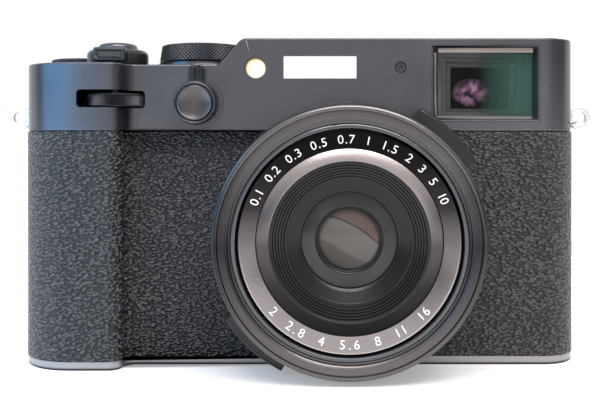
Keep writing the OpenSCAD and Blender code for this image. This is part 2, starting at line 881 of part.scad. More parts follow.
chassis();
top_cover();
base_plate();
front_cover();
rear_cover();
grip_leather();
side_leather();
lens_mount();
lens_barrel();
front_ring();
focus_ring();
aperture_ring();
inner_barrel();
name_ring();
ridged_baffle();
front_element();
shutter_unit();
rear_element();
image_sensor();
main_board();
battery_case();
battery();
memory_card();
battery_door();
tripod_socket();
hot_shoe();
viewfinder_frame();
viewfinder_glass();
viewfinder_tunnel();
viewfinder_prism();
eyepiece_frame();
eyepiece_lens();
diopter_dial();
flash_window();
focus_lamp();
strap_lugs();
shutter_button();
power_switch();
shutter_speed_dial();
sensitivity_ring();
exposure_dial();
function_button();
front_dial();
rear_dial();
selector_lever();
selector_button();
play_button();
drive_button();
lock_button();
quick_button();
menu_button();
display_button();
joystick_gimbal();
joystick();
screen_bracket();
screen_panel();
focus_mode_switch();
connector_door();
port_block();
screws();
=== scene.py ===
import json
import math

import bpy
from mathutils import Matrix, Vector


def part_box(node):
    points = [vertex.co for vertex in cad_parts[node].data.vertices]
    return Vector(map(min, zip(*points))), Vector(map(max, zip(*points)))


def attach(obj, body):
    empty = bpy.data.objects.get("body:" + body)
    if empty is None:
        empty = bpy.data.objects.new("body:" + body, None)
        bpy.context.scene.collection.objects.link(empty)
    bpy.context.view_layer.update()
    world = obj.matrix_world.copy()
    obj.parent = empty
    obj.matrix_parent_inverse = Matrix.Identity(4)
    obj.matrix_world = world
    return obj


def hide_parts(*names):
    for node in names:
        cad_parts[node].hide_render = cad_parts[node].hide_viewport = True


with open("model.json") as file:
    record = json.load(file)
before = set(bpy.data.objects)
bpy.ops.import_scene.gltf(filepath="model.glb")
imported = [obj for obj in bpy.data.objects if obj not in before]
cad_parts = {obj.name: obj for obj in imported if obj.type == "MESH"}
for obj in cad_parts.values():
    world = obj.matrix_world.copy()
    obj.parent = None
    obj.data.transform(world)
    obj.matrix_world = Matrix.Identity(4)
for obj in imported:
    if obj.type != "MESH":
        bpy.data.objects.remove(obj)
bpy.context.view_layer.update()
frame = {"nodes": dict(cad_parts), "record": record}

MM = 0.001
TURN = 2 * math.pi
CAMERA_AT = (8.53, -225.5, 50.74)  # mm, level and looking straight at the front
FOCAL = 55.0
FRAME_WIDTH = 36.0
WELD = 0.002                       # mm, points nearer than this become one
SMOOTH_DEG = 34                    # edges flatter than this are shaded smooth
TOOTH_SMOOTH_DEG = 12              # the same on toothed pieces, so the teeth stay crisp
CLICK_DEG = 24                     # turn of a dial from one number to the next
nodes = frame["nodes"]
record = frame["record"]
scene = bpy.context.scene
BODY_OF = {n: body for body, group in record["behaviour"]["bodies"].items() for n in group}
SLOT_OF = {part["node"]: part["material_slot"] for part in record["subparts"]}


# ---------------------------------------------------------------- places taken from the frame

def span(node):
    """Lowest and highest corner of a CAD node, in millimetres."""
    low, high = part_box(node)
    return low / MM, high / MM


def middle(node):
    low, high = span(node)
    return (low + high) / 2


rim_low, rim_high = span("front_ring")
LENS_X = (rim_low.x + rim_high.x) / 2
LENS_Z = (rim_low.z + rim_high.z) / 2
RIM_F = -rim_low.y                      # how far the front rim is ahead of mid-body
RIM_R = (rim_high.x - rim_low.x) / 2
LENS = (LENS_X, 0, LENS_Z)
RING_SLOPE = math.atan2(1.2, 3.3)       # the name ring's cone


# ---------------------------------------------------------------- camera and light

def make_camera():
    """A 55 mm lens, level, a little above and to the left of the object's own lens."""
    cam = bpy.data.cameras.new("camera")
    obj = bpy.data.objects.new("camera", cam)
    scene.collection.objects.link(obj)
    obj.location = [c * MM for c in CAMERA_AT]
    obj.rotation_euler = (math.radians(90), 0, 0)
    cam.lens = FOCAL
    cam.sensor_width = FRAME_WIDTH
    cam.shift_x = -0.0583
    cam.shift_y = -0.095
    cam.clip_start = 0.01
    cam.clip_end = 20
    scene.camera = obj


def area_light(name, place, aim, size, power, tint=(1, 1, 1)):
    data = bpy.data.lights.new(name, "AREA")
    data.shape = "RECTANGLE"
    data.size, data.size_y = size
    data.energy = power
    data.color = tint
    obj = bpy.data.objects.new(name, data)
    scene.collection.objects.link(obj)
    obj.location = place
    obj.rotation_euler = (Vector(aim) - Vector(place)).to_track_quat("-Z", "Y").to_euler()
    return obj


def make_floor():
    """A plain white table top, far wider than the camera."""
    bpy.ops.mesh.primitive_plane_add(size=40, location=(0, 0, 0))
    floor = bpy.context.object
    floor.name = "floor"
    m = bpy.data.materials.new("pale_floor")
    m.use_nodes = True
    shader = m.node_tree.nodes["Principled BSDF"]
    shader.inputs["Base Color"].default_value = (0.82, 0.82, 0.82, 1)
    shader.inputs["Roughness"].default_value = 0.9
    shader.inputs["Specular IOR Level"].default_value = 0.1
    shader.inputs["Emission Color"].default_value = (1, 1, 1, 1)
    shader.inputs["Emission Strength"].default_value = 0.30
    floor.data.materials.append(m)


def sky_ramp(tree, source, stops):
    """A ramp over one part of the direction, from -1 to 1."""
    fit = tree.nodes.new("ShaderNodeMapRange")
    fit.inputs["From Min"].default_value = -1
    tree.links.new(source, fit.inputs["Value"])
    ramp = tree.nodes.new("ShaderNodeValToRGB")
    bar = ramp.color_ramp.elements
    while len(bar) < len(stops):
        bar.new(0.5)
    for stop, (place, colour) in zip(bar, stops):
        stop.position = (place + 1) / 2
        stop.color = (*colour, 1)
    tree.links.new(fit.outputs["Result"], ramp.inputs["Fac"])
    return ramp.outputs["Color"]


def make_room():
    """White walls behind, a pale wall ahead, dark at both sides of it, and a bright ceiling."""
    world = bpy.data.worlds.new("room")
    world.use_nodes = True
    scene.world = world
    tree = world.node_tree
    back = tree.nodes["Background"]
    coord = tree.nodes.new("ShaderNodeTexCoord")
    split = tree.nodes.new("ShaderNodeSeparateXYZ")
    tree.links.new(coord.outputs["Generated"], split.inputs[0])
    across = sky_ramp(tree, split.outputs["X"], [
        (-1.0, (0.01, 0.01, 0.01)), (-0.42, (0.02, 0.02, 0.022)), (-0.28, (0.26, 0.27, 0.28)),
        (0.0, (0.26, 0.26, 0.26)), (0.45, (0.25, 0.25, 0.25)), (0.62, (0.02, 0.02, 0.02)),
        (1.0, (0.01, 0.01, 0.01))])
    level = sky_ramp(tree, split.outputs["Z"], [
        (-1.0, (0.03, 0.03, 0.03)), (-0.35, (0.06, 0.06, 0.06)), (-0.06, (0.16, 0.16, 0.16)),
        (0.015, (0.26, 0.26, 0.26)), (0.11, (0.90, 0.89, 0.89)), (0.26, (0.35, 0.34, 0.34)),
        (0.45, (0, 0, 0))])
    above = sky_ramp(tree, split.outputs["Z"], [
        (-1.0, (0, 0, 0)), (0.10, (0, 0, 0)), (0.33, (0.47, 0.455, 0.455)), (0.55, (0.76, 0.735, 0.73)),
        (0.70, (0.95, 0.92, 0.91)), (1.0, (1.0, 0.98, 0.98))])
    front = tree.nodes.new("ShaderNodeVectorMath")
    front.operation = "MULTIPLY"
    tree.links.new(across, front.inputs[0])
    tree.links.new(level, front.inputs[1])
    louder = tree.nodes.new("ShaderNodeVectorMath")
    louder.operation = "MULTIPLY_ADD"
    louder.inputs[1].default_value = (4.6, 4.6, 4.6)
    tree.links.new(front.outputs[0], louder.inputs[0])
    tree.links.new(above, louder.inputs[2])
    side = sky_ramp(tree, split.outputs["Y"], [(0.06, (0, 0, 0)), (0.26, (1, 1, 1))])
    blend = tree.nodes.new("ShaderNodeMix")
    blend.data_type = "RGBA"
    blend.inputs[7].default_value = (1.02, 1.03, 1.04, 1)
    tree.links.new(side, blend.inputs["Factor"])
    tree.links.new(louder.outputs[0], blend.inputs[6])
    tree.links.new(blend.outputs[2], back.inputs["Color"])
    back.inputs["Strength"].default_value = 1.0

    centre = (0.0, 0.0, 0.03)
    area_light("key", (0.08, -0.38, 0.62), centre, (0.6, 0.3), 4.5, (1.0, 0.95, 0.94))
    sheet = area_light("blue_sheet", (-0.1065, -0.051, 0.064), (-0.0735, 0.0435, 0.064), (0.092, 0.12),
                       0.085, (0.17, 0.55, 1.0))
    sheet.visible_camera = False


# ---------------------------------------------------------------- finishes

def shader_of(name, colour, rough, metallic=0.0, **sockets):
    m = bpy.data.materials.new(name)
    m.use_nodes = True
    bsdf = m.node_tree.nodes["Principled BSDF"]
    bsdf.inputs["Base Color"].default_value = (*colour, 1)
    bsdf.inputs["Roughness"].default_value = rough
    bsdf.inputs["Metallic"].default_value = metallic
    for key, value in sockets.items():
        bsdf.inputs[key.replace("_", " ")].default_value = value
    return m


def principled(m):
    return m.node_tree.nodes["Principled BSDF"]


def node(m, kind, **inputs):
    n = m.node_tree.nodes.new("ShaderNode" + kind)
    for key, value in inputs.items():
        n.inputs[key.replace("_", " ")].default_value = value
    return n


def join(m, source, target):
    m.node_tree.links.new(source, target)


def object_space(m, stretch=(1, 1, 1), centre=None, turn=(0, 0, 0)):
    """Object coordinates, moved to a centre in millimetres, turned and stretched."""
    coord = node(m, "TexCoord")
    source = coord.outputs["Object"]
    if centre:
        shift = node(m, "Mapping", Location=[-c * MM for c in centre])
        join(m, source, shift.inputs["Vector"])
        source = shift.outputs["Vector"]
    mapping = node(m, "Mapping", Scale=stretch, Rotation=turn)
    join(m, source, mapping.inputs["Vector"])
    return mapping.outputs["Vector"]


def add_bump(m, height, strength, distance):
    bump = node(m, "Bump", Strength=strength, Distance=distance)
    join(m, height, bump.inputs["Height"])
    join(m, bump.outputs["Normal"], principled(m).inputs["Normal"])
    return bump


def spread(m, value, low, high, socket):
    """Sends a texture's value, mapped to low..high, to a socket of the shader."""
    fit = node(m, "MapRange")
    fit.inputs["To Min"].default_value = low
    fit.inputs["To Max"].default_value = high
    join(m, value, fit.inputs["Value"])
    join(m, fit.outputs["Result"], principled(m).inputs[socket])


def shades(m, value, steps):
    """A colour ramp on a texture's value: steps are (place, colour)."""
    ramp = node(m, "ValToRGB")
    bar = ramp.color_ramp.elements
    while len(bar) < len(steps):
        bar.new(0.5)
    for stop, (place, colour) in zip(bar, steps):
        stop.position = place
        stop.color = (*colour, 1)
    join(m, value, ramp.inputs["Fac"])
    return ramp.outputs["Color"]


def anodised(name, colour, rough, grain=0.25, metallic=0.55):
    """Bead-blasted and anodised metal: a very fine grain and slow changes of gloss."""
    m = shader_of(name, colour, rough, metallic)
    fine = node(m, "TexNoise", Scale=6500, Detail=2)
    slow = node(m, "TexNoise", Scale=60, Detail=3)
    place = object_space(m)
    join(m, place, fine.inputs["Vector"])
    join(m, place, slow.inputs["Vector"])
    spread(m, slow.outputs["Fac"], rough - 0.05, rough + 0.06, "Roughness")
    light = tuple(c * 1.12 for c in colour)
    dark = tuple(c * 0.88 for c in colour)
    tone = shades(m, slow.outputs["Fac"], [(0.3, dark), (0.7, light)])
    join(m, tone, principled(m).inputs["Base Color"])
    add_bump(m, fine.outputs["Fac"], grain, 0.00006)
    return m


def spun_metal(name, colour, rough, centre):
    """Metal faced on a lathe: fine rings round a line to the front, which spread the light in fans."""
    pitch = 0.16
    m = shader_of(name, colour, rough, 0.9)
    rings = node(m, "TexWave", Scale=1 / (pitch * MM) / 20, Distortion=0.6, Detail=1)
    rings.wave_type = "RINGS"
    rings.rings_direction = "Z"
    join(m, object_space(m, (TURN, TURN, TURN), centre, (math.pi / 2, 0, 0)), rings.inputs["Vector"])
    add_bump(m, rings.outputs["Fac"], 0.35, 0.00002)
    spread(m, rings.outputs["Fac"], rough - 0.04, rough + 0.06, "Roughness")
    return m


def paint_light_by_height(m, low_z, high_z, steps):
    """Paints light and shade into a metal's colour, changing from the height low_z to high_z, in
    millimetres.
    """
    height = node(m, "SeparateXYZ")
    join(m, object_space(m), height.inputs[0])
    fit = node(m, "MapRange")
    fit.inputs["From Min"].default_value = low_z * MM
    fit.inputs["From Max"].default_value = high_z * MM
    join(m, height.outputs["Z"], fit.inputs["Value"])
    join(m, shades(m, fit.outputs["Result"], steps), principled(m).inputs["Base Color"])
    return m


def satin_with_painted_light(name, rough, below, above, steps):
    """Satin metal with light and shade painted into its colour by height, from below to above the lens
    axis.
    """
    m = anodised(name, (0.48, 0.43, 0.43), rough, 0.12, 0.97)
    return paint_light_by_height(m, LENS_Z + below, LENS_Z + above, steps)


def base_with_painted_shadow():
    """The base plate: satin on its edge, with painted shadow in black underneath and where the edge turns
    under.
    """
    satin = (0.36, 0.345, 0.345)
    m = anodised("base_painted_shadow", satin, 0.30, 0.2, 0.85)
    # painted shadow: black below 0.30 mm, satin from 0.75 mm up
    return paint_light_by_height(m, 0.30, 0.75, [(0.0, (0.020, 0.020, 0.021)), (1.0, satin)])


def leatherette():
    """Leather cloth: small wide pebbles that shine on top, with wandering creases between; the colour is
    painted dark in the creases as shade and light on the pebble tops as highlight.
    """
    m = shader_of("leatherette", (0.028, 0.028, 0.030), 0.42)
    place = object_space(m, (980, 980, 1800))
    warp = node(m, "TexNoise", Scale=0.35, Detail=2)
    join(m, place, warp.inputs["Vector"])
    shift = m.node_tree.nodes.new("ShaderNodeVectorMath")
    shift.operation = "MULTIPLY_ADD"
    shift.inputs[1].default_value = (1.1, 1.1, 1.4)
    join(m, warp.outputs["Color"], shift.inputs[0])
    join(m, place, shift.inputs[2])
    cells = node(m, "TexVoronoi", Scale=1.0)
    cells.feature = "SMOOTH_F1"
    cells.inputs["Smoothness"].default_value = 0.12
    join(m, shift.outputs[0], cells.inputs["Vector"])
    dome = node(m, "MapRange")
    dome.inputs["From Min"].default_value = 0.75
    dome.inputs["From Max"].default_value = 0.05
    join(m, cells.outputs["Distance"], dome.inputs["Value"])
    fine = node(m, "TexNoise", Scale=2.6, Detail=3)
    join(m, place, fine.inputs["Vector"])
    mix = node(m, "Math")
    mix.operation = "MULTIPLY_ADD"
    mix.inputs[1].default_value = 0.16
    join(m, fine.outputs["Fac"], mix.inputs[0])
    join(m, dome.outputs["Result"], mix.inputs[2])
    add_bump(m, mix.outputs[0], 1.0, 0.0011)
    # painted shade in the creases and painted highlight on the pebble tops
    valley_painted_shade = (0.008, 0.008, 0.009)
    tip_painted_highlight = (0.160, 0.157, 0.157)
    tone = shades(m, dome.outputs["Result"], [(0.15, valley_painted_shade), (0.95, tip_painted_highlight)])
    join(m, tone, principled(m).inputs["Base Color"])
    spread(m, fine.outputs["Fac"], 0.20, 0.40, "Roughness")
    return m


def clear_glass(name, tint):
    m = shader_of(name, tint, 0.0)
    principled(m).inputs["Transmission Weight"].default_value = 1.0
    principled(m).inputs["IOR"].default_value = 1.5
    return m


def moulded(name, colour, rough, grain=0.15):
    """Moulded plastic with a faint spark-eroded texture."""
    m = shader_of(name, colour, rough)
    fine = node(m, "TexNoise", Scale=3800, Detail=3)
    join(m, object_space(m), fine.inputs["Vector"])
    spread(m, fine.outputs["Fac"], rough - 0.05, rough + 0.07, "Roughness")
    add_bump(m, fine.outputs["Fac"], grain, 0.00005)
    return m


def finder_coating():
    """Finder window: neutral at the inner end, a green bloom towards the outer end."""
    low, high = span("viewfinder_glass")
    m = shader_of("finder_coating", (0.05, 0.06, 0.06), 0.30)
    wide = high.x - low.x
    grade = node(m, "TexGradient")
    place = object_space(m, (1 / (wide * MM), 1, 1), (low.x, 0, 0))
    join(m, place, grade.inputs["Vector"])
    tone = shades(m, grade.outputs["Fac"], [(0.30, (0.040, 0.042, 0.044)), (0.50, (0.015, 0.060, 0.042)),
                                            (0.78, (0.032, 0.115, 0.092))])
    join(m, tone, principled(m).inputs["Base Color"])
    cover = shades(m, grade.outputs["Fac"], [(0.42, (0.03, 0.03, 0.03)), (0.56, (0.26, 0.26, 0.26)),
                                             (0.85, (0.42, 0.42, 0.42))])
    join(m, cover, principled(m).inputs["Alpha"])
    return m


def finder_depth_painted_glow():
    """The dark prism behind the window, with the small blurred picture it carries painted on as a glow."""
    m = shader_of("finder_depth_painted_glow", (0.004, 0.004, 0.005), 0.25, Specular_IOR_Level=0.1)
    spot = node(m, "TexGradient")
    spot.gradient_type = "SPHERICAL"
    place = object_space(m, (1 / (4.6 * MM), 0.001, 1 / (3.6 * MM)), (41.6, 0, 63.0))
    join(m, place, spot.inputs["Vector"])
    cloud = node(m, "TexNoise", Scale=420, Detail=2)
    join(m, object_space(m), cloud.inputs["Vector"])
    tint = shades(m, cloud.outputs["Fac"], [(0.35, (0.02, 0.03, 0.02)), (0.47, (0.34, 0.14, 0.30)),
                                            (0.56, (0.70, 0.42, 0.55)), (0.68, (0.16, 0.10, 0.20))])
    fade = node(m, "MapRange")
    fade.inputs["From Max"].default_value = 0.6
    fade.inputs["To Max"].default_value = 0.50
    join(m, spot.outputs["Fac"], fade.inputs["Value"])
    # painted glow: the blurred picture seen through the finder
    join(m, tint, principled(m).inputs["Emission Color"])
    join(m, fade.outputs["Result"], principled(m).inputs["Emission Strength"])
    return m


def front_coating():
    """Coated front glass, dark with a grey green bloom."""
    m = shader_of("front_coating", (0.02, 0.02, 0.02), 0.16, Specular_IOR_Level=0.30)
    slow = node(m, "TexNoise", Scale=110, Detail=1)
    join(m, object_space(m), slow.inputs["Vector"])
    tone = shades(m, slow.outputs["Fac"], [(0.35, (0.030, 0.034, 0.036)), (0.65, (0.045, 0.046, 0.046))])
    join(m, tone, principled(m).inputs["Base Color"])
    return m


def inner_coating_painted_reflections():
    """The inner glass: broad soft shapes of brown, grey and green painted into its colour as reflections,
    as a coated group shows.
    """
    m = shader_of("inner_coating_painted_reflections", (0.10, 0.09, 0.085), 0.12, Specular_IOR_Level=0.30)
    curve = node(m, "TexNoise", Scale=90, Detail=0)
    join(m, object_space(m), curve.inputs["Vector"])
    place = object_space(m, (1, 1, 1), (LENS_X, 0, LENS_Z), (0, math.radians(64), 0))
    bend = m.node_tree.nodes.new("ShaderNodeVectorMath")
    bend.operation = "MULTIPLY_ADD"
    bend.inputs[1].default_value = (0.006, 0, 0)
    join(m, curve.outputs["Color"], bend.inputs[0])
    join(m, place, bend.inputs[2])
    grade = node(m, "SeparateXYZ")
    join(m, bend.outputs[0], grade.inputs[0])
    fit = node(m, "MapRange")
    fit.inputs["From Min"].default_value = -0.0045
    fit.inputs["From Max"].default_value = 0.0105
    join(m, grade.outputs["X"], fit.inputs["Value"])
    # painted reflections in bands across the inner glass
    tone = shades(m, fit.outputs["Result"], [
        (0.0, (0.022, 0.030, 0.027)), (0.20, (0.032, 0.030, 0.027)), (0.23, (0.045, 0.040, 0.036)),
        (0.36, (0.062, 0.057, 0.054)), (0.38, (0.100, 0.094, 0.090)), (0.64, (0.120, 0.112, 0.106)),
        (0.655, (0.032, 0.025, 0.023)), (0.68, (0.105, 0.076, 0.069)), (1.0, (0.080, 0.055, 0.050))])
    join(m, tone, principled(m).inputs["Base Color"])
    return m


def flash_diffuser_painted_glow():
    """Clear flash window over a white tube: bright, with fine upright ribs at the two ends, and a painted
    glow.
    """
    at = middle("flash_window")
    m = shader_of("flash_diffuser_painted_glow", (0.90, 0.91, 0.93), 0.15, Coat_Weight=0.8)
    ribs = node(m, "TexWave", Scale=190, Distortion=0, Detail=0)
    ribs.bands_direction = "X"
    join(m, object_space(m, centre=at), ribs.inputs["Vector"])
    add_bump(m, ribs.outputs["Fac"], 0.15, 0.00005)
    # painted glow on the white window
    principled(m).inputs["Emission Color"].default_value = (1.0, 1.0, 1.0, 1)
    principled(m).inputs["Emission Strength"].default_value = 0.45
    return m


def lamp_window_painted_light():
    """Frosted cream window of the focus lamp, painted with a highlight low and to the right of its middle,
    shade towards its rim, and a glow.
    """
    m = shader_of("lamp_window_painted_light", (0.93, 0.80, 0.55), 0.2, Coat_Weight=1.0)
    at = middle("focus_lamp")
    spot = node(m, "TexGradient")
    spot.gradient_type = "SPHERICAL"
    place = object_space(m, (1 / (2.7 * MM), 0.001, 1 / (2.7 * MM)), (at.x + 0.5, 0, at.z - 0.4))
    join(m, place, spot.inputs["Vector"])
    # painted highlight off the middle and painted shade towards the rim, also used as a painted glow
    tone = shades(m, spot.outputs["Fac"], [(0.05, (0.75, 0.55, 0.30)), (0.3, (0.95, 0.84, 0.60)),
                                           (0.8, (1.0, 0.95, 0.82))])
    join(m, tone, principled(m).inputs["Base Color"])
    join(m, tone, principled(m).inputs["Emission Color"])
    principled(m).inputs["Emission Strength"].default_value = 0.25
    return m


FINISH = {
    "black_metal": anodised("black_metal", (0.112, 0.115, 0.128), 0.25, 0.2, 0.85),
    "knurled_metal": anodised("knurled_metal", (0.042, 0.043, 0.048), 0.28, 0.2, 0.8),
    "black_plastic": moulded("black_plastic", (0.022, 0.022, 0.024), 0.45),
    "gloss_black": shader_of("gloss_black", (0.010, 0.010, 0.012), 0.08, Coat_Weight=0.6),
    "leatherette": leatherette(),
    "lens_glass": clear_glass("lens_glass", (0.75, 0.83, 0.78)),
    "alloy": anodised("alloy", (0.45, 0.46, 0.48), 0.42),
    "steel": anodised("steel", (0.50, 0.50, 0.51), 0.30),
    "polished": anodised("polished", (0.80, 0.79, 0.79), 0.30, 0.1, 0.7),
    # focus lamp window: painted highlight, shade and glow
    "lamp_lens": lamp_window_painted_light(),
    # flash window: painted glow
    "flash_white": flash_diffuser_painted_glow(),
    "board_green": moulded("board_green", (0.02, 0.12, 0.06), 0.4),
    "screw_black": anodised("screw_black", (0.06, 0.06, 0.065), 0.35),
    # front rim: painted reflection, lighter at the top and bottom and darker level with the lens axis
    "rim_painted_reflection": satin_with_painted_light("rim_painted_reflection", 0.26, -29, 29, [
        (0.0, (0.15, 0.14, 0.14)), (0.25, (0.085, 0.080, 0.080)), (0.48, (0.030, 0.029, 0.031)),
        (0.66, (0.080, 0.078, 0.080)), (0.80, (0.155, 0.148, 0.150)), (1.0, (0.16, 0.15, 0.15))]),
    "bright_lip": anodised("bright_lip", (0.62, 0.56, 0.55), 0.25, 0.1, 1.0),
    # finder bottom and left walls: painted light
    "sill_painted_light": anodised("sill_painted_light", (0.17, 0.17, 0.178), 0.30, 0.1, 0.85),
    # cone round the funnel: painted reflection, dark at the bottom and light at the top
    "cone_painted_reflection": satin_with_painted_light("cone_painted_reflection", 0.26, -18, 10, [
        (0.0, (0.015, 0.015, 0.015)), (0.30, (0.030, 0.029, 0.030)), (0.62, (0.09, 0.085, 0.085)),
        (0.78, (0.26, 0.235, 0.235)), (1.0, (0.46, 0.415, 0.415))]),
    # name ring: painted reflection, light at the bottom and dark at the top
    "name_ring_painted_reflection": satin_with_painted_light("name_ring_painted_reflection", 0.22, -20, 20, [
        (0.0, (0.50, 0.46, 0.46)), (0.25, (0.42, 0.385, 0.385)), (0.50, (0.14, 0.13, 0.13)),
        (0.68, (0.030, 0.027, 0.028)), (0.90, (0.010, 0.009, 0.009)), (1.0, (0.006, 0.006, 0.006))]),
    "dark_metal": anodised("dark_metal", (0.050, 0.052, 0.058), 0.28, 0.15, 0.7),
    # base plate: satin with painted shadow along its lower edge
    "base_painted_shadow": base_with_painted_shadow(),
    "baffle_black": anodised("baffle_black", (0.030, 0.030, 0.031), 0.28, 0.2, 0.75),
    "white_paint": shader_of("white_paint", (0.88, 0.88, 0.88), 0.35),
    "front_coating": front_coating(),
    # inner glass: painted reflections
    "inner_coating_painted_reflections": inner_coating_painted_reflections(),
    "finder_coating": finder_coating(),
    "finder_depth_painted_glow": finder_depth_painted_glow(),
    "tab_black": anodised("tab_black", (0.030, 0.030, 0.032), 0.28, 0.15, 0.6),
    "finder_bezel": anodised("finder_bezel", (0.11, 0.112, 0.122), 0.28, 0.1, 0.8),
    "finder_steps": moulded("finder_steps", (0.105, 0.108, 0.112), 0.36),
    # finder top wall: painted reflection in brown
    "visor_painted_reflection": anodised("visor_painted_reflection", (0.28, 0.24, 0.225), 0.35, 0.1, 0.8),
    "rubber": moulded("rubber", (0.018, 0.018, 0.019), 0.62, 0.3),
    "gold": anodised("gold", (0.72, 0.55, 0.25), 0.25, 0.1, 1.0),
    "screen_glass": shader_of("screen_glass", (0.006, 0.007, 0.009), 0.05, Coat_Weight=1.0),
}


# ---------------------------------------------------------------- ways of working

def clear_selection():
    active = bpy.context.view_layer.objects.active
    if active and active.mode != "OBJECT":
        bpy.ops.object.mode_set(mode="OBJECT")
    bpy.ops.object.select_all(action="DESELECT")


def only(obj):
    """Makes one object the selected and active one."""
    clear_selection()
    obj.select_set(True)
    bpy.context.view_layer.objects.active = obj


def pick(obj, wanted):
    """Goes to edit mode with just the points selected whose place passes the test."""
    bpy.ops.object.mode_set(mode="OBJECT")
    for face in obj.data.polygons:
        face.select = False
    for edge in obj.data.edges:
        edge.select = False
    for point in obj.data.vertices:
        point.select = bool(wanted(point.co / MM))
    bpy.ops.object.mode_set(mode="EDIT")


def paint(obj, finish):
    obj.data.materials.clear()
    obj.data.materials.append(FINISH[finish])


def deliver(obj, finish, body, stands_for=()):
    """Gives a finished piece its material and its body, and hides what it stands for."""
    clear_selection()
    paint(obj, finish)
    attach(obj, body)
    if stands_for:
        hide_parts(*stands_for)
    return obj


def stand_in(obj, finish, name):
    """Delivers a piece that is shown in place of one CAD node, on its body."""
    return deliver(obj, finish, BODY_OF[name], (name,))


def go_with(obj, finish, name):
    """Delivers a piece that is added to a CAD node, on its body."""
    return deliver(obj, finish, BODY_OF[name])


def settle(obj, place, turn=(0, 0, 0), smooth=SMOOTH_DEG):
    """Puts a piece at its place in millimetres and leaves its object at the origin."""
    only(obj)
    obj.location = [c * MM for c in place]
    obj.rotation_euler = turn
    bpy.ops.object.transform_apply(location=True, rotation=True, scale=True)
    bpy.ops.object.shade_smooth_by_angle(angle=math.radians(smooth))


def draw_profile(name, profile):
    """A plane melted to a point and drawn out along a profile of (radius, height)."""
    clear_selection()
    bpy.ops.mesh.primitive_plane_add(size=MM, location=(0, 0, 0))
    obj = bpy.context.object
    obj.name = name
    obj.data.name = name
    bpy.ops.object.mode_set(mode="EDIT")
    bpy.context.tool_settings.mesh_select_mode = (True, False, False)
    bpy.ops.mesh.select_all(action="SELECT")
    bpy.ops.mesh.merge(type="CENTER")
    r, h = profile[0]
    bpy.ops.transform.translate(value=(r * MM, 0, h * MM))
    for r1, h1 in profile[1:]:
        step = ((r1 - r) * MM, 0, (h1 - h) * MM)
        bpy.ops.mesh.extrude_region_move(TRANSFORM_OT_translate={"value": step})
        r, h = r1, h1
    return obj


FORWARD = (math.pi / 2, 0, 0)      # local Z looks forward, out of the lens
RIGHTWARD = (0, math.pi / 2, 0)    # local Z looks to the right


def turned(name, profile, place, turn=(0, 0, 0), steps=96, teeth=(), smooth=SMOOTH_DEG):
    """A piece spun from its profile, with teeth pressed in where wanted.

    teeth holds (least radius, from height, to height, depth, crossed): every other column is pressed
    in, and crossed teeth swap from row to row, which makes diamonds.
    """
    obj = draw_profile(name, profile)
    bpy.ops.mesh.select_all(action="SELECT")
    bpy.ops.mesh.spin(steps=steps, angle=TURN, center=(0, 0, 0), axis=(0, 0, 1))
    bpy.ops.mesh.select_all(action="SELECT")
    bpy.ops.mesh.remove_doubles(threshold=WELD * MM)
    bpy.ops.mesh.normals_make_consistent(inside=False)
    heights = sorted({round(point[1], 3) for point in profile})
    for least, low, high, depth, crossed in teeth:
        def hollow(co):
            if math.hypot(co.x, co.y) < least or not low - 0.01 <= co.z <= high + 0.01:
                return False
            column = round(math.atan2(co.y, co.x) / TURN * steps)
            row = min(range(len(heights)), key=lambda i: abs(heights[i] - co.z)) if crossed else 0
            return (column + row) % 2 == 1
        pick(obj, hollow)
        factor = 1 - depth / (least + 0.1)
        bpy.ops.transform.resize(value=(factor, factor, 1), center_override=(0, 0, 0))
    if teeth:
        bpy.ops.mesh.select_all(action="SELECT")
        bpy.ops.mesh.quads_convert_to_tris(quad_method="SHORTEST_DIAGONAL")
    settle(obj, place, turn, TOOTH_SMOOTH_DEG if teeth else smooth)
    return obj


def rows(r, low, high, count):
    """Points up a straight side, so that crossed teeth have rows to stand on."""
    return [(r, low + (high - low) * i / count) for i in range(count + 1)]


def ring_of(inner, outer, low, high, ease=0.15):
    """Profile of a plain ring with eased outer edges, closed."""
    return [(inner, low), (outer - ease, low), (outer, low + ease), (outer, high - ease),
            (outer - ease, high), (inner, high), (inner, low)]


def disc_of(r, low, high, ease=0.15, dish=0.0):
    """Profile of a button or disc: flat, or dished in the middle."""
    return [(0, low), (r - ease, low), (r, low + ease), (r, high - ease), (r - ease, high),
            (r * 0.72, high - dish * 0.45), (r * 0.4, high - dish * 0.85), (0, high - dish)]


